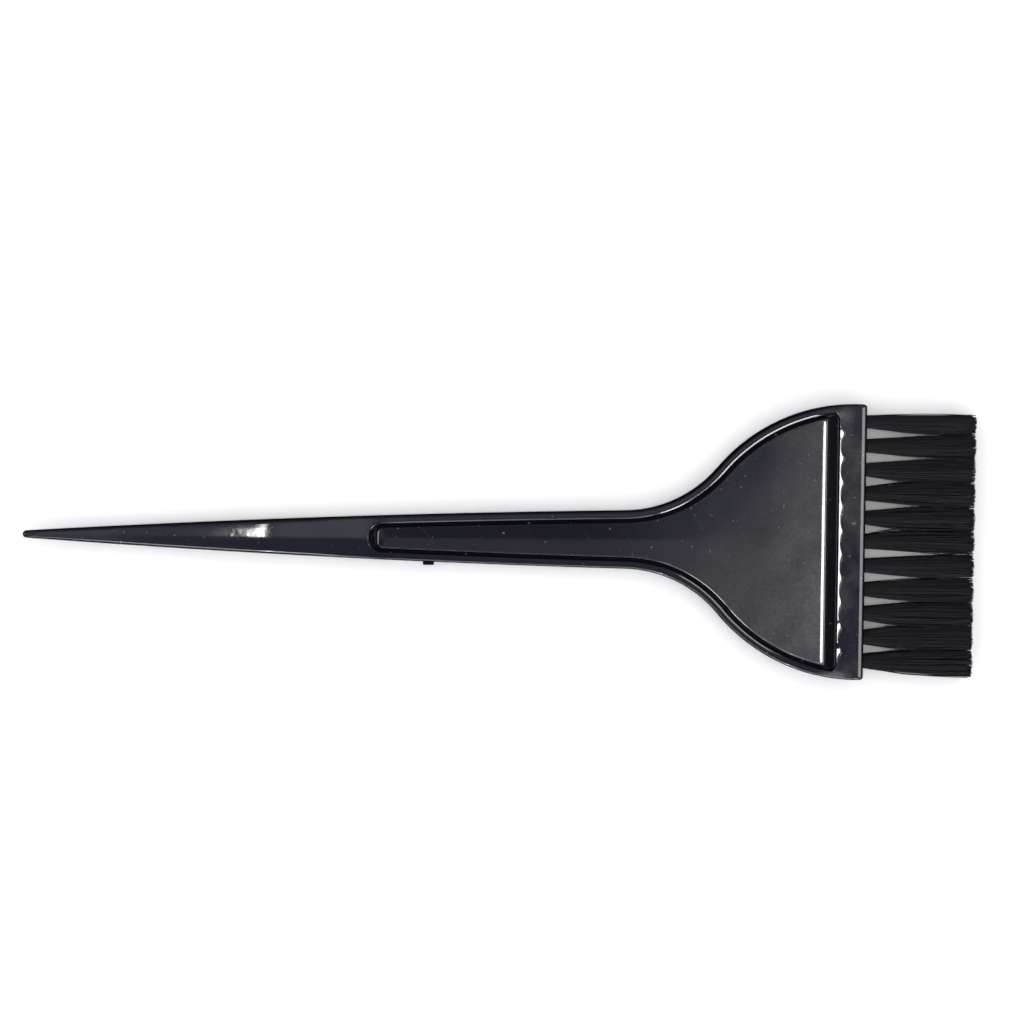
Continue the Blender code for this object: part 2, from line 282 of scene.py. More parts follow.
# Lights aimed at the middle of the brush, also only for reflections; widths and heights
PANELS = [
    ("slope_strip", (-0.6, 0.0, 1.05), (0.9, 0.2), 30.0),
    ("front_strip", (0.62, 0.0, 1.1), (0.9, 0.16), 6.0),
    ("corner_panel", (0.55, -0.75, 0.77), (0.6, 0.16), 26.0),
    ("far_panel", (0.62, 0.7, 0.77), (0.66, 0.16), 9.0),
    ("side_panel", (0.0, -0.93, 0.77), (0.5, 0.16), 6.0, COOL),
    ("rim_panel", (0.0, -1.13, 0.43), (0.8, 0.16), 14.0, COOL),
    ("tail_panel", (-0.39, -0.84, 0.77), (0.5, 0.16), 16.0),
    ("head_panel", (0.93, 0.0, 0.77), (0.9, 0.16), 5.0),
    ("tail_strip", (-1.05, -0.1, 0.6), (0.5, 0.3), 3.5),
    ("slit", (-0.226, -0.9, 0.77), (0.018, 0.16), 100.0),
]
# Soft lights for the floor and the filaments, kept out of reflections
FILLS = [
    ("dome", (0.0, 0.0, 1.6), (3.6, 3.6), 1.6),
    ("top_fill", (0.0, 0.05, 1.3), (0.35, 0.25), 13.0, WARM),
]

WORLD_BRIGHT_SIDE = (-0.2, -0.35, 0.9)
WORLD_LEVELS = [(0.0, 0.1), (0.45, 0.2), (0.6, 1.0), (1.0, 1.0)]
WORLD_TINT = (0.8, 0.9, 1.3)
WORLD_STRENGTH = 0.1

CAMERA_LENS = 85.0
CAMERA_TARGET = (3.22 * MM, 5.98 * MM, 4.5 * MM)
CAMERA_DISTANCE = 547.4 * MM
CAMERA_TURN = (-3.0, 0.0, 0.525)

# ------- outline of the handle

NECK_SLOPE = atan((NECK_HALF_WIDTH - TIP_RADIUS - 4 * TAPER_BOW) / (NECK - TIP_RADIUS))
INNER_X = NECK - INNER_RADIUS * sin(NECK_SLOPE)
INNER_Y = NECK_HALF_WIDTH + INNER_RADIUS * cos(NECK_SLOPE)
MEET_X = INNER_X + INNER_RADIUS * sin(FLARE_ANGLE)
MEET_Y = INNER_Y - INNER_RADIUS * cos(FLARE_ANGLE)
OUTER_X = MEET_X + OUTER_RADIUS * sin(FLARE_ANGLE)
OUTER_Y = MEET_Y - OUTER_RADIUS * cos(FLARE_ANGLE)


def half_width(along, inset=0.0):
    """Half the width of the outline that lies inset from the handle's edge, at places along it."""
    along = np.asarray(along, float)
    share = (along - TIP_RADIUS) / (NECK - TIP_RADIUS)
    taper = TIP_RADIUS + (NECK_HALF_WIDTH - TIP_RADIUS) * share
    taper = taper + 4 * TAPER_BOW * share * (1 - share) - inset
    inner = (INNER_RADIUS + inset) ** 2 - (along - INNER_X) ** 2
    inner = INNER_Y - np.sqrt(np.maximum(inner, 0.0))
    outer = (OUTER_RADIUS - inset) ** 2 - np.maximum(OUTER_X - along, 0.0) ** 2
    outer = OUTER_Y + np.sqrt(np.maximum(outer, 0.0))
    past_neck = along > NECK + inset * sin(NECK_SLOPE)
    past_meet = along > MEET_X + inset * sin(FLARE_ANGLE)
    return np.where(past_meet, outer, np.where(past_neck, inner, taper))


def ease(value):
    """0 below 0, 1 above 1, and smooth between."""
    value = np.clip(value, 0.0, 1.0)
    return value * value * (3 - 2 * value)


def face_height(along, y):
    """Height of the handle's face over the middle plane, without its crown, groove and dish."""
    along, y = np.asarray(along, float), np.abs(np.asarray(y, float))
    tail_slope = (SHANK_HALF_THICKNESS - TIP_HALF_THICKNESS) / TAIL_END
    shank_slope = (NECK_HALF_THICKNESS - SHANK_HALF_THICKNESS) / (NECK - TAIL_END)
    bend = np.clip((along - TAIL_END + TAIL_BEND) / (2 * TAIL_BEND), 0.0, 1.0)
    past_bend = np.maximum(along - TAIL_END - TAIL_BEND, 0.0)
    before = np.minimum(along, TAIL_END - TAIL_BEND) * tail_slope
    within = 2 * TAIL_BEND * (tail_slope * bend + (shank_slope - tail_slope) * bend**2 / 2)
    height = TIP_HALF_THICKNESS + before + within + past_bend * shank_slope
    crease = MITRE_X + np.maximum(y - MITRE_Y, 0.0)
    share = np.clip((along - NECK) / (crease - NECK), 0.0, 1.0)
    at_neck = TIP_HALF_THICKNESS + TAIL_END * tail_slope + (NECK - TAIL_END) * shank_slope
    return np.where(along > NECK, at_neck + (BLOCK_HALF_THICKNESS - at_neck) * share**2, height)


def crown(along, y):
    """How far the face falls away from its middle line towards the edge, on the tail and shank."""
    width = half_width(along)
    fade = 1 - ease((np.asarray(along, float) - NECK) / CROWN_FADE)
    return CROWN * width * (np.asarray(y, float) / width) ** 2 * fade


def top(along, y):
    """Height of the handle's face over the middle plane, outside the groove."""
    return face_height(along, y) - crown(along, y)


def soft_rise(distance):
    """0 before a place and the distance from it after, with a soft bend between."""
    bend = np.clip(distance, 0.0, SLOPE_SOFTNESS)
    return bend**2 / (2 * SLOPE_SOFTNESS) + np.maximum(distance - SLOPE_SOFTNESS, 0.0)


def panel_top(along, y):
    """Height of the raised panel inside the groove: a little below the rim, and dished."""
    half = half_width(along, PANEL_INSET + PANEL_EDGE)
    across = np.clip(np.abs(y) / half, 0.0, 1.0)
    ends = ease((along - PANEL_START - PANEL_EDGE) / (3 * MM))
    ends = ends * ease((PANEL_END - PANEL_EDGE - along) / DISH_END)
    from_lip = along - PANEL_END + LIP_BACK
    lip = LIP_SLOPE * (soft_rise(from_lip) - soft_rise(from_lip - LIP_LENGTH))
    dish = SHANK_DISH + (HEAD_DISH - SHANK_DISH) * ease((along - NECK) / (20 * MM))
    return top(along, y) - PANEL_RECESS - dish * half * (1 - across**2) * ends + lip


# ------- lines that the fine mesh follows


def steps(first, last, count):
    """count + 1 evenly spaced values from first to last."""
    return np.linspace(first, last, count + 1)


def arc_points(centre_x, centre_y, radius, first, last, count):
    """Points on an arc in the plan; angles in degrees."""
    angle = np.radians(steps(first, last, count))
    return np.stack([centre_x + radius * np.cos(angle), centre_y + radius * np.sin(angle)], 1)


def by_length(points, count):
    """The polyline's points, spaced evenly along it in count steps."""
    lengths = np.linalg.norm(np.diff(points, axis=0), axis=1)
    at = np.concatenate([[0.0], np.cumsum(lengths)])
    wanted = steps(0.0, at[-1], count)
    return np.stack([np.interp(wanted, at, points[:, k]) for k in (0, 1)], 1)


def flare_points(start, inset, end_angle, outer_count):
    """Outline points from start, through the taper and the inner arc, to end_angle on the outer."""
    neck_end = NECK + inset * sin(NECK_SLOPE)
    taper = steps(start, neck_end, TAPER_STEPS)
    inner = INNER_X + (INNER_RADIUS + inset) * np.sin(steps(NECK_SLOPE, FLARE_ANGLE, INNER_STEPS))
    outer = OUTER_X - (OUTER_RADIUS - inset) * np.sin(steps(FLARE_ANGLE, end_angle, outer_count))
    along = np.concatenate([taper, inner[1:], outer[1:]])
    return np.stack([along, half_width(along, inset)], 1)


def channel_line(inset, left, right, left_radius, right_radius):
    """A line round one half of the panel, from the middle line at its tail end to the block."""
    start = left + left_radius
    start_y = float(half_width(start, inset))
    left_radius = min(left_radius, start_y)
    end = arc_points(left + left_radius, start_y - left_radius, left_radius, 180, 90, 60)
    end = by_length(np.concatenate([[(left, 0.0)], end]), END_STEPS)
    end[-1] = (start, start_y)
    corner_x = right - right_radius
    end_angle = asin((OUTER_X - corner_x) / (OUTER_RADIUS - inset))
    side = flare_points(start, inset, end_angle, OUTER_STEPS)
    corner_y = side[-1, 1] - right_radius
    mitre = arc_points(corner_x, corner_y, right_radius, 90, 45, MITRE_STEPS)
    corner = arc_points(corner_x, corner_y, right_radius, 45, 0, CORNER_STEPS)
    down = np.stack([np.full(END_STEPS, right), steps(corner_y, 0.0, END_STEPS)[1:]], 1)
    return np.concatenate([end, side[1:], mitre[1:], corner[1:], down])


GROOVE_END_RADIUS = float(half_width(GROOVE_START + 2.9 * MM, RIM_WIDTH))
GROOVE_SIDE_START = GROOVE_START + GROOVE_END_RADIUS


def groove_line(inward):
    """The groove's outer edge, or a line that lies inward of it."""
    ends = GROOVE_START + inward, BLOCK_BACK - inward
    radii = GROOVE_END_RADIUS - inward, GROOVE_CORNER - inward
    return channel_line(RIM_WIDTH + inward, *ends, *radii)


def panel_line(inward):
    """The panel's edge, or a line that lies inward of it."""
    ends = PANEL_START + inward, PANEL_END - inward
    radius = max(PANEL_CORNER - inward, PANEL_LEAST_CORNER)
    return channel_line(PANEL_INSET + inward, *ends, radius, PANEL_END_CORNER)


CORNER_Y = float(groove_line(0.0)[-END_STEPS - 1, 1])
MITRE_X = BLOCK_BACK - GROOVE_CORNER * (1 - cos(pi / 4))
MITRE_Y = CORNER_Y + GROOVE_CORNER * sin(pi / 4)


def crease_angle():
    """Angle on the outer arc at which the crease beside the block meets the edge fillet."""
    radius = OUTER_RADIUS - EDGE_RADIUS
    angles = np.linspace(0.0, 0.3, 3001)
    along = OUTER_X - radius * np.sin(angles)
    y = OUTER_Y + radius * np.cos(angles)
    return float(angles[np.argmin(np.abs((along - MITRE_X) - (y - MITRE_Y)))])


def unit(vectors):
    """The vectors, each scaled to a length of 1."""
    return vectors / np.linalg.norm(vectors, axis=-1)[..., None]


def left_normals(directions):
    """Unit vectors at right angles to the directions in the plan, on their left."""
    return unit(np.stack([-directions[:, 1], directions[:, 0]], 1))


def edge_outline():
    """The handle's outline from the tip to the middle of the block's face, and its normals."""
    tip = arc_points(TIP_RADIUS, 0.0, TIP_RADIUS, 180, 90, TIP_STEPS)
    on_tail = steps(TIP_RADIUS, TAIL_TOP_END, TAIL_STEPS)[1:]
    beside = steps(TAIL_TOP_END, GROOVE_SIDE_START, BESIDE_STEPS)[1:]
    before = np.concatenate([on_tail, beside])
    before = np.stack([before, half_width(before)], 1)
    side_end = asin((OUTER_X - BLOCK_BACK + GROOVE_CORNER) / (OUTER_RADIUS - RIM_WIDTH))
    side = flare_points(GROOVE_SIDE_START, 0.0, side_end, OUTER_STEPS)[1:]
    crease = crease_angle()
    angles = steps(side_end, crease, MITRE_STEPS), steps(crease, 0.0, CREST_STEPS)
    angles = np.concatenate([part[1:] for part in angles])
    crest_x = OUTER_X - OUTER_RADIUS * np.sin(angles)
    crest = np.stack([crest_x, OUTER_Y + OUTER_RADIUS * np.cos(angles)], 1)
    widest = OUTER_Y + OUTER_RADIUS
    corner_x, corner_y = BLOCK_FACE - BLOCK_CORNER, widest - BLOCK_CORNER
    corner = arc_points(corner_x, corner_y, BLOCK_CORNER, 90, 0, BLOCK_CORNER_STEPS)
    down = steps(corner_y, CORNER_Y, FACE_STEPS)
    face = np.concatenate([down[1:], steps(CORNER_Y, 0.0, END_STEPS)[1:]])
    face = np.stack([np.full(len(face), BLOCK_FACE), face], 1)
    points = np.concatenate([tip, before, side, crest, corner[1:], face])
    step = np.diff(points, axis=0)
    normals = left_normals(np.concatenate([step[:1], step[1:] + step[:-1], step[-1:]]))
    normals[0] = (-1.0, 0.0)
    normals[-len(face) :] = (1.0, 0.0)
    return points, normals


def edge_radius(points):
    """Radius of the fillet along the handle's edge at each point of the outline."""
    along = points[:, 0]
    slim = ease((along - TAIL_EDGE_END) / TAIL_EDGE_FADE)
    wanted = TAIL_EDGE_RADIUS + (EDGE_RADIUS - TAIL_EDGE_RADIUS) * slim
    width = half_width(np.maximum(along, TIP_RADIUS))
    room = np.minimum(width, face_height(along, points[:, 1]))
    return np.minimum(wanted, EDGE_SHARE * room)


def across(first, last, shares):
    """A grid of rows of points between two lines, one row for each share of the way."""
    share = np.asarray(shares)[:, None, None]
    return first[None] * (1 - share) + last[None] * share


def four_sided(left, right, bottom, upper):
    """A grid inside four boundary lines: columns from left to right, rows from bottom to upper."""
    u = steps(0.0, 1.0, len(bottom) - 1)[:, None, None]
    v = steps(0.0, 1.0, len(left) - 1)[None, :, None]
    sides = (1 - u) * left[None] + u * right[None] + (1 - v) * bottom[:, None] + v * upper[:, None]
    corners = (1 - u) * ((1 - v) * bottom[0] + v * upper[0])
    corners = corners + u * ((1 - v) * bottom[-1] + v * upper[-1])
    return sides - corners


def raised(grid, height):
    """The plan grid with the height of each point over the middle plane."""
    return np.concatenate([grid, np.asarray(height)[..., None]], -1)


def edge_patches():
    """The side wall and the edge fillet, and the line where the fillet meets the face."""
    points, normals = edge_outline()
    radius = edge_radius(points)
    draft = EDGE_DRAFT * np.abs(normals[:, 1])
    rows = []
    for share in (0.0, 0.5, 1.0):
        place = points - normals * (draft * share)[:, None]
        rows.append(raised(place, (top_at(place) - radius) * share))
    for angle in np.radians(steps(0.0, 90.0, FILLET_STEPS))[1:]:
        inward = draft + radius * (1 - cos(angle))
        place = points - normals * inward[:, None]
        rows.append(raised(place, top_at(place) - radius * (1 - sin(angle))))
    rows = np.array(rows)
    rows[:, [0, -1], 1] = 0.0
    return rows


def top_at(place):
    """Height of the face at plan points; outside the outline it is as at the edge."""
    along = np.clip(place[..., 0], TIP_RADIUS * 0.2, None)
    y = np.minimum(np.abs(place[..., 1]), half_width(np.maximum(along, TIP_RADIUS)))
    return top(along, y) - block_fall(along, y)


def block_fall(along, y):
    """Fall of the block's faces below flat: a shoulder along its rear edge, uneven over the tufts,
    and a weaker one along its front edge."""
    y = np.abs(y)
    between = 0.5 - 0.5 * np.cos(2 * pi * y / TUFT_PITCH)
    stronger = 0.45 + 0.55 * (y / (27 * MM)) ** 2
    length = SHOULDER_LENGTH * (1 + SHOULDER_WAVE * (2 * between**1.5 - 1) * stronger)
    past = along - BLOCK_BACK
    rear = soft_rise(length - np.maximum(past, 0.0))
    rear = rear * ease(1 + past / (0.9 * MM)) * ease((CORNER_Y - y) / (1.5 * MM))
    start = BLOCK_FACE - EDGE_RADIUS - FRONT_SHOULDER
    front = soft_rise(np.minimum(along - start, FRONT_SHOULDER))
    return SHOULDER_SLOPE * rear + FRONT_SLOPE * front


def groove_edge():
    """The groove's outer edge, its normals away from the groove, and the width of its bevel."""
    line = groove_line(0.0)
    normals = left_normals(np.gradient(line, axis=0))
    normals[0] = (-1.0, 0.0)
    normals[-END_STEPS:] = (1.0, 0.0)
    at_block = ease((line[:, 0] - BLOCK_BACK + GROOVE_CORNER) / GROOVE_CORNER)
    on_head = ease((line[:, 0] - NECK - 9 * MM) / (14 * MM))
    width = SHANK_BEVEL + (HEAD_BEVEL - SHANK_BEVEL) * on_head
    return line, normals, width + (BLOCK_BEVEL - width) * at_block


def under_top(line, below):
    """The line's points, a distance below the top of the face."""
    return raised(line, top(*line.T) - below)


def ramp_down(line):
    """How much further the groove's floor lies down on its way to the block."""
    share = (line[:, 0] - PANEL_END - 0.35 * MM) / (1.4 * MM)
    return BLOCK_GROOVE_DROP * np.clip(share, 0.0, 1.0)


def channel_rows():
    """Rows of points from the groove's rim, down across its floor and up onto the panel."""
    rows = []
    edge, normals, width = groove_edge()
    for outside, fall in BEVEL_PROFILE:
        line = edge + normals * (width * outside)[:, None]
        rows.append(raised(line, top_at(line) - width * fall))
    angles = np.radians(steps(0.0, 90.0, 3))
    inward = FLOOR_FILLET * (1 - np.cos(angles))
    fillet = list(zip(inward, GROOVE_DEPTH - FLOOR_FILLET + FLOOR_FILLET * np.sin(angles)))
    for inward, below in fillet:
        line = groove_line(WALL_DRAFT + inward)
        rows.append(under_top(line, below + ramp_down(line)))
    first = groove_line(WALL_DRAFT + FLOOR_FILLET)
    last = panel_line(-WALL_DRAFT - FLOOR_FILLET)
    for line in across(first, last, (1 / 3, 2 / 3)):
        rows.append(under_top(line, GROOVE_DEPTH + ramp_down(line)))
    for inward, below in fillet[::-1]:
        rows.append(under_top(panel_line(-WALL_DRAFT - inward), below))
    panel = [(PANEL_EDGE * inward, PANEL_EDGE * fall) for inward, fall in PANEL_PROFILE]
    for inward, fall in panel + [(inward * MM, 0.0) for inward in PANEL_ROWS]:
        line = panel_line(inward)
        rows.append(raised(line, panel_top(*line.T) - fall))
    return np.array(rows)


def spaced_like(line, first, last):
    """Points on the middle line from first to last, spaced along it as the line's points are."""
    along = line[:, 0] - line[0, 0]
    along = first + along * ((last - first) / (line[-1, 0] - line[0, 0]))
    return np.stack([along, np.zeros(len(line))], 1)


def handle_patches():
    """Grids of points that cover the handle's quarter above the middle plane on the +Y side."""
    edge = edge_patches()
    channel = channel_rows()
    face_line = edge[-1][:, :2]
    tip_line = face_line[: TIP_STEPS + 1]
    tail_line = face_line[TIP_STEPS : TIP_STEPS + TAIL_STEPS + 1]
    end_x, end_y = tail_line[-1]
    cross_line = np.stack([np.full(TIP_STEPS + 1, end_x), steps(0.0, end_y, TIP_STEPS)], 1)
    middle = spaced_like(tail_line, tip_line[0, 0], end_x)
    tail = four_sided(tip_line, cross_line, middle, tail_line)
    rim_outer = np.concatenate([cross_line[:-1], face_line[TIP_STEPS + TAIL_STEPS :]])
    rim = across(rim_outer, channel[0][:, :2], RIM_SHARES)
    last = channel[-1][:, :2]
    left = last[: END_STEPS + 1]
    right = last[-END_STEPS - 1 :][::-1]
    upper = last[END_STEPS:-END_STEPS]
    panel = four_sided(left, right, spaced_like(upper, left[0, 0], right[0, 0]), upper)
    return [
        edge,
        raised(tail, top_at(tail)),
        raised(rim, top_at(rim)),
        channel,
        raised(panel, panel_top(panel[..., 0], panel[..., 1])),
    ]


def mesh_from_patches(patches, name):
    """One closed mesh from the quarter's grids and their three mirror images."""
    vertices, faces = [], []
    start = 0
    for mirror_y, mirror_z in ((1, 1), (-1, 1), (1, -1), (-1, -1)):
        for patch in patches:
            rows, columns = patch.shape[:2]
            points = patch.reshape(-1, 3) * (1, mirror_y, mirror_z)
            points = points + (TAIL_X, 0.0, MID_HEIGHT)
            index = np.arange(rows * columns).reshape(rows, columns) + start
            quads = [index[:-1, :-1], index[:-1, 1:], index[1:, 1:], index[1:, :-1]]
            vertices.append(points)
            faces.append(np.stack(quads, -1).reshape(-1, 4))
            start += rows * columns
    mesh = bpy.data.meshes.new("quarters")
    mesh.from_pydata(np.concatenate(vertices).tolist(), [], np.concatenate(faces).tolist())
    build = bmesh.new()
    build.from_mesh(mesh)
    bpy.data.meshes.remove(mesh)
    bmesh.ops.remove_doubles(build, verts=build.verts, dist=MERGE_DISTANCE)
    bmesh.ops.dissolve_degenerate(build, edges=build.edges, dist=MERGE_DISTANCE)
    return mesh_of(name, build)


# ------- holes, anchor slots and gate mark


def add_object(name, data):
    """An object in the scene with that data."""
    made = bpy.data.objects.new(name, data)
    bpy.context.scene.collection.objects.link(made)
    return made


def mesh_of(name, build):
    """A mesh from a bmesh, with its faces pointing out."""
    bmesh.ops.recalc_face_normals(build, faces=build.faces)
    mesh = bpy.data.meshes.new(name)
    build.to_mesh(mesh)
    build.free()
    return mesh


def tuft_axis(name):
    """Y and Z of the axis of a tuft's hole, from its anchor."""
    low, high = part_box(name.replace("tuft_", "anchor_"))
    return (low.y + high.y) / 2, (low.z + high.z) / 2


def hole_cutter():
    """One round cutter for each blind hole, slightly wider at its mouth."""
    build = bmesh.new()
    profile = [
        (-HOLE_DEPTH, 0.0),
        (-HOLE_DEPTH, HOLE_RADIUS - HOLE_END_RADIUS),
        (-HOLE_DEPTH + HOLE_END_RADIUS * 0.3, HOLE_RADIUS - HOLE_END_RADIUS * 0.3),
        (-HOLE_DEPTH + HOLE_END_RADIUS, HOLE_RADIUS),
        (-HOLE_MOUTH, HOLE_RADIUS),
        (HOLE_MOUTH, HOLE_RADIUS + 2 * HOLE_MOUTH),
        (HOLE_MOUTH, 0.0),
    ]
    angles = np.arange(HOLE_SIDES) * 2 * pi / HOLE_SIDES
    for name in TUFT_NODES:
        y, z = tuft_axis(name)
        rings = []
        for along, radius in profile:
            x = TAIL_X + BLOCK_FACE + along
            around = angles if radius else angles[:1]
            ring = [(x, y + radius * cos(a), z + radius * sin(a)) for a in around]
            rings.append([build.verts.new(point) for point in ring])
        for ring, following in zip(rings, rings[1:]):
            for i in range(HOLE_SIDES):
                j = (i + 1) % HOLE_SIDES
                corners = [ring[i % len(ring)], ring[j % len(ring)]]
                corners += [following[j % len(following)], following[i % len(following)]]
                build.faces.new(list(dict.fromkeys(corners)))
    return mesh_of("hole_cutter", build)


def slot_cutter():
    """One box for the slot that each anchor's two ends bite into."""
    build = bmesh.new()
    for name in ANCHOR_NODES:
        low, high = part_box(name)
        size = [high[k] - low[k] + 2 * SLOT_GAP for k in range(3)]
        place = Matrix.Translation((low + high) / 2) @ Matrix.Diagonal((*size, 1.0))
        bmesh.ops.create_cube(build, size=1.0, matrix=place)
    return mesh_of("slot_cutter", build)


def gate_mark():
    """The small stub where the runner was cut off: a soft-edged block with an uneven end."""
    random = np.random.default_rng(GATE_SEED)
    build = bmesh.new()
    bmesh.ops.create_cube(build, size=1.0)
    edges = build.edges[:]
    bmesh.ops.bevel(build, geom=edges, offset=GATE_BEVEL, segments=3, affect="EDGES", profile=0.5)
    bmesh.ops.subdivide_edges(build, edges=build.edges[:], cuts=1, use_grid_fill=True)
    depth = 2 * GATE_HEIGHT
    edge_y = -float(half_width(GATE_AT))
    for vertex in build.verts:
        share = vertex.co.y - 0.5
        vertex.co.x *= 1 + GATE_FLARE * (vertex.co.y + 0.5)
        vertex.co = (
            TAIL_X + GATE_AT + vertex.co.x * GATE_LENGTH,
            edge_y + GATE_HEIGHT + share * depth,
            MID_HEIGHT + vertex.co.z * GATE_THICKNESS,
        )
        outside = max(edge_y - vertex.co.y, 0.0) / GATE_HEIGHT
        vertex.co += Vector(random.uniform(-1, 1, 3)) * (GATE_ROUGHNESS * outside)
        vertex.co.y += GATE_SLANT * outside * sin(2.1 * vertex.co.x / GATE_LENGTH)
        vertex.co.y = max(vertex.co.y, edge_y - GATE_HEIGHT)
    return mesh_of("gate_mark", build)


def make_handle():
    """The fine handle: the mesh with its holes and slots cut, its gate mark, creases, and its
    painted sheen, painted shade and gloss values.
    """
    whole = add_object("handle_fine", mesh_from_patches(handle_patches(), "handle_fine"))
    cutters = [
        (add_object("hole_cutter", hole_cutter()), "DIFFERENCE"),
        (add_object("slot_cutter", slot_cutter()), "DIFFERENCE"),
        (add_object("gate_mark", gate_mark()), "UNION"),
    ]
    for cutter, operation in cutters:
        modifier = whole.modifiers.new(cutter.name, "BOOLEAN")
        modifier.operation = operation
        modifier.object = cutter
        modifier.solver = "EXACT"
    depsgraph = bpy.context.evaluated_depsgraph_get()
    mesh = bpy.data.meshes.new_from_object(whole.evaluated_get(depsgraph))
    whole.modifiers.clear()
    whole.data = mesh
    mesh.name = "handle_fine"
    for cutter, _ in cutters:
        bpy.data.objects.remove(cutter)
    mesh.shade_smooth()
    mesh.set_sharp_from_angle(angle=SHARP_ANGLE)
    mark_creases(mesh)
    store_painted_light_and_gloss(mesh)
    return whole


def vertex_places(mesh):
    """Distance along the brush, Y and height over the middle plane of each vertex."""
    places = np.empty(len(mesh.vertices) * 3)
    mesh.vertices.foreach_get("co", places)
    places = places.reshape(-1, 3)
    return places[:, 0] - TAIL_X, places[:, 1], np.abs(places[:, 2] - MID_HEIGHT)


def mark_creases(mesh):
    """Keeps the shading sharp across the two short creases at each end of the block."""
    along, y, _ = vertex_places(mesh)
    y = np.abs(y)
    offset = np.abs((along - MITRE_X) - (y - MITRE_Y))
    on_crease = (offset < 0.02 * MM) & (y > MITRE_Y - 0.3 * MM)
    sharp = mesh.attributes.get("sharp_edge")
    sharp = sharp or mesh.attributes.new("sharp_edge", "BOOLEAN", "EDGE")
    for edge in mesh.edges:
        if on_crease[edge.vertices[0]] and on_crease[edge.vertices[1]]:
            sharp.data[edge.index].value = True


def store_painted_light_and_gloss(mesh):
    """Stores values for the plastic at each point of the handle:

    painted_sheen: how much lighter painted sheen it gets, standing in for reflections
    on_block: whether it is on the block's faces, where patchy painted sheen is added
    painted_shade: how much painted shade darkens it, in the groove and on the shank's panel
    dull: how far it lacks the glossy skin
    """
    along, y, height = vertex_places(mesh)
    along = np.clip(along, TIP_RADIUS, BLOCK_FACE)
    below = top(along, y) - height
    inside = np.abs(y) < half_width(along, PANEL_INSET)
    inside = inside & (along < PANEL_END) & (along > PANEL_START)
    on_panel = inside & (height > panel_top(along, y) - 0.3 * MM)
    towards_block = ease((along - SHEEN_START) / SHEEN_RISE)
    towards_side = ease((SHEEN_SIDE - y) / SHEEN_RISE)
    painted_sheen = on_panel * towards_block * (SHEEN_LEAST + SHEEN_SIDE_EXTRA * towards_side)
    painted_sheen = painted_sheen + SHEEN_END_EXTRA * on_panel * ease((along - SHEEN_END_START) / SHEEN_END_RISE)
    # Painted highlights at the block's rear corners
    for corner_y, strength in CORNER_HIGHLIGHTS:
        distance = np.hypot((along - BLOCK_BACK + 0.8 * MM) / 2.6, (y - corner_y) / 0.9)
        painted_sheen = painted_sheen + strength * np.exp(-((distance / MM) ** 2)) * (below < 0.1 * MM)
    on_block = (along > BLOCK_BACK) & (along < BLOCK_FACE - EDGE_RADIUS) & (below < 0.5 * MM)
    painted_shade = ease((below - 0.05 * MM) / (0.15 * MM)) * (1 - on_panel) * (1 - on_block)
    channel_end = np.exp(-(((along - PANEL_START - 0.8 * MM) / (2.2 * MM)) ** 2))
    on_tip = 1 - ease((along - 1.2 * MM) / (1.5 * MM))
    dull = DULL_TIP * on_tip + DULL_GROOVE * painted_shade
    dull = np.clip(dull + DULL_CHANNEL_END * channel_end * (1 - on_panel), 0.0, DULL_TIP)
    on_head = ease((along - SHANK_PAINTED_SHADE_END) / SHANK_PAINTED_SHADE_FADE)
    painted_shade = painted_shade + SHANK_PAINTED_SHADE * on_panel * (1 - on_head)
    values = {"painted_sheen": painted_sheen, "on_block": on_block, "painted_shade": painted_shade, "dull": dull}
    for name, value in values.items():
        store(mesh, name, value)


def store(mesh, name, values):
    """Keeps one number for each vertex under that name."""
    attribute = mesh.attributes.new(name, "FLOAT", "POINT")
    attribute.data.foreach_set("value", values.astype(np.float32))


# ------- tufts of separate filaments


def packed_places(random):
    """Where the filaments on one side of an anchor stand in the hole, as Y and Z off its axis."""
    places = []
    z = ANCHOR_GAP
    while z < BUNDLE_RADIUS:
        reach = sqrt(BUNDLE_RADIUS**2 - z**2)
        count = max(int(2 * reach / FILAMENT_PITCH), 1)
        places += [((k - (count - 1) / 2) * FILAMENT_PITCH, z) for k in range(count)]
        z += ROW_SPACING
    places = np.array(places)
    return places + random.uniform(-PLACE_JITTER, PLACE_JITTER, places.shape) * MM


def spread(distance, closing):
    """How far a tuft has opened: 0 at its hole and 1 where it meets its neighbour."""
    share = distance / closing
    return share / (1 + share**5) ** 0.2 / 0.87


def filament_paths(name, random):
    """Centre lines of one tuft's folded filaments: an array of filament, point and coordinate."""
    axis_y, axis_z = tuft_axis(name)
    low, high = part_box(name.replace("tuft_", "anchor_"))
    anchor_low, anchor_high = low.x - TAIL_X, high.x - TAIL_X
    places = packed_places(random)
    closings = closing_lengths(name, random)
    paths = []
    for y, z in places:
        legs = [
            leg(y, side * z, closings, axis_y, axis_z, anchor_high, random) for side in (1, -1)
        ]
        turn_angles = np.radians(steps(0.0, 180.0, TURN_STEPS))
        depth = TURN_START + TURN_DEPTH * (z - ANCHOR_GAP) / (BUNDLE_RADIUS - ANCHOR_GAP)
        turn_x = anchor_low - depth * np.sin(turn_angles)
        turn_y = np.full(TURN_STEPS + 1, axis_y + y)
        turn = np.stack([turn_x, turn_y, axis_z + z * np.cos(turn_angles)], 1)
        paths.append(np.concatenate([legs[0][::-1], turn, legs[1]]))
    return np.array(paths)


def closing_lengths(name, random):
    """How far from the block the tuft meets the next one, on its -Y side and on its +Y side."""
    number = int(name[-2:])
    below, above = CLOSINGS[number - 1] * MM, CLOSINGS[number] * MM
    if "front" not in name:
        below, above = np.array([below, above]) * random.uniform(0.8, 1.15, 2)
    return below, above


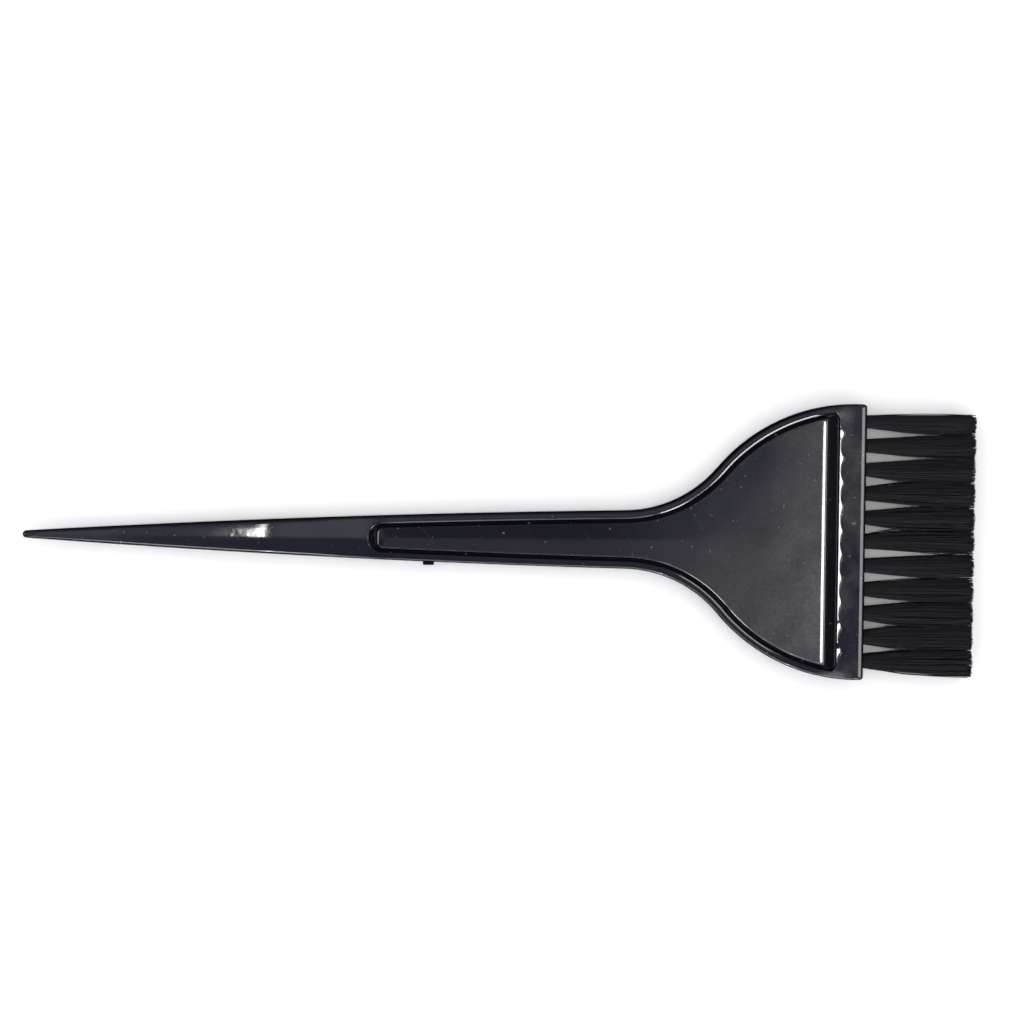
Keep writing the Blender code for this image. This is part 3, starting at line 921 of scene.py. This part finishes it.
def leg(y, z, closings, axis_y, axis_z, start, random):
    """One leg of a filament, from beside its anchor to its cut tip."""
    length = BRISTLE_TIPS - BLOCK_FACE
    ragged = abs(random.normal(0.0, TIP_RAGGED))
    if random.random() < CUT_SHORT_SHARE:
        ragged += random.uniform(*CUT_SHORT) * MM
    tip = length - FILAMENT_RADIUS - min(ragged, TIP_RAGGED_MOST)
    beside = np.array([start - BLOCK_FACE, start - BLOCK_FACE + 1.2 * MM])
    free = tip * steps(0.0, 1.0, LEG_STEPS) ** 0.92
    out = np.concatenate([beside, free])
    outside = np.clip(out, 0.0, None)
    inner = (abs(z) - ANCHOR_GAP) * (BUNDLE_RADIUS - CLOSE_GAP) / (BUNDLE_RADIUS - ANCHOR_GAP)
    inner = inner + CLOSE_GAP
    closed = ease((out - beside[0]) / (BLOCK_FACE - start))
    depth = copysign(1.0, z) * (abs(z) + (inner - abs(z)) * closed)
    closing = closings[1] if y > 0 else closings[0]
    outermost = abs(axis_y) > 4.5 * TUFT_PITCH and y * axis_y > 0
    reach = TUFT_PITCH / 2 - BUNDLE_RADIUS if not outermost else OUTER_SPREAD[int(y > 0)]
    opened = spread(outside, closing)
    shared_y = y / BUNDLE_RADIUS * reach * opened
    shared_z = depth / BUNDLE_RADIUS * DEPTH_SPREAD * (outside / length) ** 0.8
    share = outside / length
    bow = random.normal(0.0, BOW, 2)
    stray = random.normal(0.0, STRAY, 2)
    if random.random() < LOOSE_SHARE:
        stray = stray * LOOSE_STRAY
    phase = random.uniform(0.0, 2 * pi, 2)
    wander_y, wander_z = (
        bow[k] * np.sin(pi * share)
        + stray[k] * share**1.6
        + BOW * 0.3 * np.sin(5 * share + phase[k]) * share
        for k in (0, 1)
    )
    across_y = axis_y + y + shared_y + wander_y
    across_z = axis_z + depth + shared_z + wander_z * 0.8
    limit = HANDLE_HIGH.z - MID_HEIGHT - 0.12 * MM
    across_z = MID_HEIGHT + np.clip(across_z - MID_HEIGHT, -limit, limit)
    return np.stack([BLOCK_FACE + out, across_y, across_z], 1)


def tubes(paths, radii, sides):
    """Vertices and faces of round tubes with domed ends along the paths."""
    count, length = paths.shape[:2]
    ahead = unit(np.gradient(paths, axis=1))
    across_1 = unit(np.cross(ahead, (0.0, 1.0, 0.0)))
    for k in range(1, length):
        turned = np.sum(across_1[:, k] * across_1[:, k - 1], axis=1) < 0
        across_1[turned, k] *= -1
    across_2 = np.cross(ahead, across_1)
    angles = np.arange(sides) * 2 * pi / sides
    ring = across_1[:, :, None] * np.cos(angles)[None, None, :, None]
    ring = ring + across_2[:, :, None] * np.sin(angles)[None, None, :, None]
    ring = paths[:, :, None] + ring * radii[:, None, None, None]
    start_tips = paths[:, 0] - ahead[:, 0] * radii[:, None] * 0.5
    end_tips = paths[:, -1] + ahead[:, -1] * radii[:, None] * 0.5
    caps = np.stack([start_tips, end_tips], 1)
    vertices = np.concatenate([ring.reshape(count, -1, 3), caps], 1)
    index = np.arange(length * sides).reshape(length, sides)
    following = np.roll(index, -1, axis=1)
    quads = np.stack([index[:-1], following[:-1], following[1:], index[1:]], -1).reshape(-1, 4)
    first, last = length * sides, length * sides + 1
    start_cap = np.stack([following[0], index[0], np.full(sides, first)], -1)
    end_cap = np.stack([index[-1], following[-1], np.full(sides, last)], -1)
    per_tube = vertices.shape[1]
    offsets = np.arange(count) * per_tube
    all_quads = (quads[None] + offsets[:, None, None]).reshape(-1, 4)
    all_caps = np.concatenate([start_cap, end_cap])[None] + offsets[:, None, None]
    return vertices.reshape(-1, 3), all_quads, all_caps.reshape(-1, 3), per_tube


def make_tuft(name):
    """One tuft's filaments as one object, with a tone of its own for each filament."""
    random = np.random.default_rng(TUFT_SEED + TUFT_NODES.index(name))
    paths = filament_paths(name, random)
    paths[..., 0] += TAIL_X
    radii = FILAMENT_RADIUS * random.uniform(*THICKNESS_RANGE, len(paths))
    vertices, quads, caps, per_tube = tubes(paths, radii, FILAMENT_SIDES)
    mesh = bpy.data.meshes.new(name + "_fine")
    mesh.from_pydata(vertices.tolist(), [], quads.tolist() + caps.tolist())
    mesh.shade_smooth()
    store(mesh, "tone", np.repeat(random.uniform(0, 1, len(paths)), per_tube))
    return add_object(name + "_fine", mesh)


# ------- materials


class Nodes:
    """A short way to build the node tree of a material or a world."""

    def __init__(self, owner):
        """Starts on the owner's tree."""
        owner.use_nodes = True
        self.owner = owner
        self.tree = owner.node_tree

    def add(self, kind, inputs=None, **settings):
        """A node with its settings; inputs maps a socket to a value or to another node's socket."""
        node = self.tree.nodes.new("ShaderNode" + kind)
        for key, value in settings.items():
            setattr(node, key, value)
        self.fill(node, inputs or {})
        return node

    def fill(self, node, inputs):
        """Sets or links the node's inputs."""
        for key, value in inputs.items():
            if isinstance(value, bpy.types.NodeSocket):
                self.tree.links.new(value, node.inputs[key])
            else:
                node.inputs[key].default_value = value

    def finish(self, inputs, name="Principled BSDF"):
        """Fills the inputs of the node that colours the owner, and gives back the owner."""
        self.fill(self.tree.nodes[name], inputs)
        return self.owner

    def place(self, scale=(1, 1, 1), turn=(0, 0, 0)):
        """Object coordinates, stretched and turned."""
        vector = self.add("TexCoord").outputs["Object"]
        inputs = {"Vector": vector, "Scale": scale, "Rotation": turn}
        return self.add("Mapping", inputs).outputs["Vector"]

    def noise(self, vector, scale, detail=2.0, rough=0.5):
        """Noise from 0 to 1."""
        inputs = {"Vector": vector, "Scale": scale, "Detail": detail, "Roughness": rough}
        return self.add("TexNoise", inputs).outputs["Fac"]

    def stored(self, name):
        """The mesh attribute of that name."""
        node = self.add("Attribute", attribute_type="GEOMETRY", attribute_name=name)
        return node.outputs["Fac"]

    def ramp(self, value, stops):
        """A colour ramp; stops are pairs of a place and a grey level or a colour."""
        node = self.add("ValToRGB", {"Fac": value})
        elements = node.color_ramp.elements
        while len(elements) < len(stops):
            elements.new(0.5)
        for element, (place, colour) in zip(elements, stops):
            element.position = place
            colour = colour if isinstance(colour, tuple) else (colour, colour, colour)
            element.color = (*colour, 1.0)
        return node.outputs["Color"]

    def maths(self, operation, first, second=0.0):
        """The result of one sum."""
        return self.add("Math", {0: first, 1: second}, operation=operation).outputs[0]

    def times(self, first, second):
        """The product of the two."""
        return self.maths("MULTIPLY", first, second)

    def mix(self, factor, first, second):
        """The first colour where the factor is 0 and the second where it is 1."""
        inputs = {0: factor, 6: first, 7: second}
        return self.add("Mix", inputs, data_type="RGBA").outputs[2]

    def bump(self, height, distance, below=None):
        """A normal bent by the height, on top of the normal below if there is one."""
        inputs = {"Height": height, "Distance": distance}
        if below is not None:
            inputs["Normal"] = below
        return self.add("Bump", inputs).outputs["Normal"]

    def scratches(self, turn, density, length, limit, rarity):
        """Thin straight marks in one direction, as a mask from 0 to 1."""
        scale = (1.0 / length, density, 30.0)
        inputs = {"Vector": self.place(turn=(0, 0, turn)), "Scale": scale}
        stretched = self.add("Mapping", inputs).outputs["Vector"]
        inputs = {"Vector": stretched, "Scale": 1.0}
        cells = self.add("TexVoronoi", inputs, feature="F1")
        inputs = {0: stretched, 1: cells.outputs["Position"]}
        from_middle = self.add("VectorMath", inputs, operation="SUBTRACT")
        parts = self.add("SeparateXYZ", {0: from_middle.outputs["Vector"]})
        aside = self.maths("ABSOLUTE", parts.outputs["Y"])
        thin = self.ramp(aside, [(0.0, 1.0), (limit, 0.0)])
        chosen = self.add("SeparateColor", {0: cells.outputs["Color"]}).outputs[0]
        return self.times(thin, self.ramp(chosen, [(rarity, 0.0), (rarity + 0.1, 1.0)]))


def plastic_material():
    """Moulded black plastic: glossy, rippled skin over a hazy base, with scuff lines, scratches,
    painted sheen and painted shade.
    """
    nodes = Nodes(bpy.data.materials.new("handle_plastic"))
    place = nodes.place()
    cloud = nodes.noise(place, 30.0, 4.0, 0.55)
    grain = nodes.noise(place, 1900.0, 3.0, 0.6)
    ripple = nodes.noise(place, 420.0, 3.0, 0.55)
    dust = nodes.ramp(nodes.noise(place, 1050.0, 1.0), [(0.74, 0.0), (0.78, 1.0)])
    scuffs = nodes.scratches(turn=0.95, density=190.0, length=0.0045, limit=0.011, rarity=0.9)
    marks = nodes.scratches(turn=-0.35, density=170.0, length=0.0035, limit=0.01, rarity=0.92)
    lines = nodes.maths("MAXIMUM", scuffs, marks)
    mottle = nodes.ramp(nodes.noise(place, 1500.0, 4.0, 0.75), [(0.3, 0.55), (0.7, 1.0)])
    # Patchy painted sheen on the block's faces
    block_sheen = nodes.ramp(nodes.noise(place, 170.0, 3.0, 0.6), [(0.4, 0.0), (0.64, 0.34)])
    block_sheen = nodes.times(nodes.stored("on_block"), block_sheen)
    painted_sheen = nodes.times(nodes.maths("ADD", nodes.stored("painted_sheen"), block_sheen), mottle)
    uneven = nodes.ramp(nodes.noise(place, 130.0, 3.0, 0.55), [(0.35, 0.6), (0.68, 1.0)])
    painted_sheen = nodes.times(painted_sheen, uneven)
    # Painted sheen: lighter mottled patches standing in for reflections on the panel and block
    tone = nodes.mix(painted_sheen, nodes.ramp(cloud, PLASTIC_TONES), PAINTED_SHEEN_COLOUR)
    # Painted shade darkens the groove and the shank's panel
    tone = nodes.mix(nodes.times(nodes.stored("painted_shade"), 0.8), tone, PAINTED_GROOVE_SHADE)
    tone = nodes.mix(nodes.times(lines, 0.5), tone, SCRATCH_COLOUR)
    tone = nodes.mix(nodes.times(dust, 0.6), tone, DUST_COLOUR)
    rough = nodes.ramp(cloud, [(0.25, 0.33), (0.75, 0.4)])
    normal = nodes.bump(grain, 0.0008 * MM, nodes.bump(ripple, 0.004 * MM))
    along = nodes.add("SeparateXYZ", {0: place}).outputs["X"]
    inputs = {"Value": along, "From Min": -0.05, "From Max": -0.06}
    on_tail = nodes.add("MapRange", inputs).outputs["Result"]
    swell = nodes.times(nodes.noise(place, 430.0), on_tail)
    coat = nodes.bump(swell, 0.014 * MM, nodes.bump(ripple, 0.0055 * MM))
    inputs = {
        "Base Color": tone,
        "Roughness": nodes.maths("ADD", rough, nodes.times(grain, 0.06)),
        "Normal": nodes.bump(lines, -0.0015 * MM, normal),
        "IOR": 1.45,
        "Specular IOR Level": 0.005,
        "Coat Weight": nodes.maths("SUBTRACT", 1.0, nodes.stored("dull")),
        "Coat Roughness": 0.06,
        "Coat IOR": 1.5,
        "Coat Normal": nodes.bump(grain, 0.0005 * MM, coat),
    }
    return nodes.finish(inputs)


def nylon_material():
    """Dyed black nylon: each filament a slightly different dark tone, satin, with pale specks."""
    nodes = Nodes(bpy.data.materials.new("bristle_nylon"))
    place = nodes.place()
    tone = nodes.ramp(nodes.stored("tone"), NYLON_TONES)
    streaks = nodes.noise(nodes.place(scale=(60.0, 3000.0, 3000.0)), 1.0)
    tone = nodes.mix(nodes.ramp(streaks, [(0.35, 0.0), (0.7, 0.4)]), tone, STREAK_COLOUR)
    speck = nodes.ramp(nodes.noise(place, 1500.0, 1.0), [(0.74, 0.0), (0.8, 1.0)])
    inputs = {
        "Base Color": nodes.mix(nodes.times(speck, 0.2), tone, SPECK_COLOUR),
        "Roughness": nodes.ramp(streaks, [(0.3, 0.42), (0.75, 0.56)]),
        "Normal": nodes.bump(nodes.noise(place, 2600.0), 0.001 * MM),
        "IOR": 1.4,
        "Specular IOR Level": 0.21,
    }
    return nodes.finish(inputs)


def metal_material():
    """Stamped anchor wire: bright drawn metal with lengthwise lines and dull patches."""
    nodes = Nodes(bpy.data.materials.new("anchor_metal"))
    lines = nodes.noise(nodes.place(scale=(9000.0, 250.0, 9000.0)), 1.0, 3.0, 0.6)
    dull = nodes.noise(nodes.place(), 500.0, 3.0, 0.6)
    tone = nodes.ramp(lines, METAL_TONES)
    inputs = {
        "Base Color": nodes.mix(nodes.ramp(dull, [(0.5, 0.0), (0.75, 0.6)]), tone, TARNISH_COLOUR),
        "Roughness": nodes.ramp(dull, [(0.3, 0.26), (0.75, 0.5)]),
        "Normal": nodes.bump(lines, 0.003 * MM),
        "Metallic": 1.0,
    }
    return nodes.finish(inputs)


def floor_material():
    """A pale matte table top with very faint mottling."""
    nodes = Nodes(bpy.data.materials.new("pale_floor"))
    cloud = nodes.noise(nodes.place(), 14.0, 3.0)
    inputs = {
        "Base Color": nodes.ramp(cloud, FLOOR_TONES),
        "Roughness": nodes.ramp(cloud, [(0.3, 0.75), (0.7, 0.85)]),
        "Specular IOR Level": 0.2,
    }
    return nodes.finish(inputs)


# ------- floor, light and camera


def make_floor():
    """The table top under the brush."""
    build = bmesh.new()
    bmesh.ops.create_grid(build, x_segments=1, y_segments=1, size=FLOOR_HALF_SIZE)
    floor = add_object("floor", mesh_of("floor", build))
    floor.data.materials.append(floor_material())
    floor.visible_glossy = False


def add_light(name, place, size, radiance, colour=(1.0, 1.0, 1.0)):
    """A rectangular light that faces straight down."""
    light = bpy.data.lights.new(name, "AREA")
    light.shape = "RECTANGLE"
    light.size, light.size_y = size
    light.energy = radiance * pi * size[0] * size[1]
    light.color = colour
    lamp = add_object(name, light)
    lamp.location = Vector(place) + Vector((0.0, 0.0, MID_HEIGHT))
    return lamp


def make_lights():
    """The lights: the first two kinds show only in glossy reflections, the fills never there."""
    for row in CEILING:
        add_light(*row).visible_diffuse = False
    for row in PANELS:
        lamp = add_light(*row)
        lamp.visible_diffuse = False
        lamp.rotation_mode = "QUATERNION"
        lamp.rotation_quaternion = Vector(row[1]).to_track_quat("Z", "Y")
    for row in FILLS:
        add_light(*row).visible_glossy = False


def make_world():
    """A faint bluish surround for the reflections, brighter above and on the camera's left."""
    world = bpy.data.worlds.new("studio")
    bpy.context.scene.world = world
    nodes = Nodes(world)
    inputs = {0: nodes.add("TexCoord").outputs["Generated"], 1: WORLD_BRIGHT_SIDE}
    facing = nodes.add("VectorMath", inputs, operation="DOT_PRODUCT").outputs["Value"]
    share = nodes.add("MapRange", {"Value": facing, "From Min": -1.0}).outputs["Result"]
    levels = [(at, tuple(level * tint for tint in WORLD_TINT)) for at, level in WORLD_LEVELS]
    inputs = {"Color": nodes.ramp(share, levels), "Strength": WORLD_STRENGTH}
    nodes.finish(inputs, "Background")


def make_camera():
    """A camera above the brush, as in the photograph."""
    data = bpy.data.cameras.new("camera")
    data.lens = CAMERA_LENS
    data.sensor_width = 36.0
    data.clip_start, data.clip_end = 0.01, 20.0
    camera = add_object("camera", data)
    camera.rotation_euler = [radians(angle) for angle in CAMERA_TURN]
    away = camera.rotation_euler.to_matrix() @ Vector((0.0, 0.0, 1.0))
    camera.location = Vector(CAMERA_TARGET) + away * CAMERA_DISTANCE
    bpy.context.scene.camera = camera


# ------- the whole piece


def wear(thing, material):
    """Gives the thing that material alone, under that slot."""
    thing.data.materials.clear()
    thing.data.materials.append(material)


def main():
    """Replaces the handle and the tufts, and sets the floor, the lights and the camera."""
    plastic, nylon, metal = plastic_material(), nylon_material(), metal_material()
    handle = make_handle()
    wear(handle, plastic)
    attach(handle, "root")
    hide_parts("handle")
    for name in TUFT_NODES:
        tuft = make_tuft(name)
        wear(tuft, nylon)
        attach(tuft, "root")
        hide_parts(name)
    for name in ANCHOR_NODES:
        wear(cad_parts[name], metal)
    make_floor()
    make_world()
    make_lights()
    make_camera()
    bpy.context.scene.view_settings.view_transform = "Standard"


main()
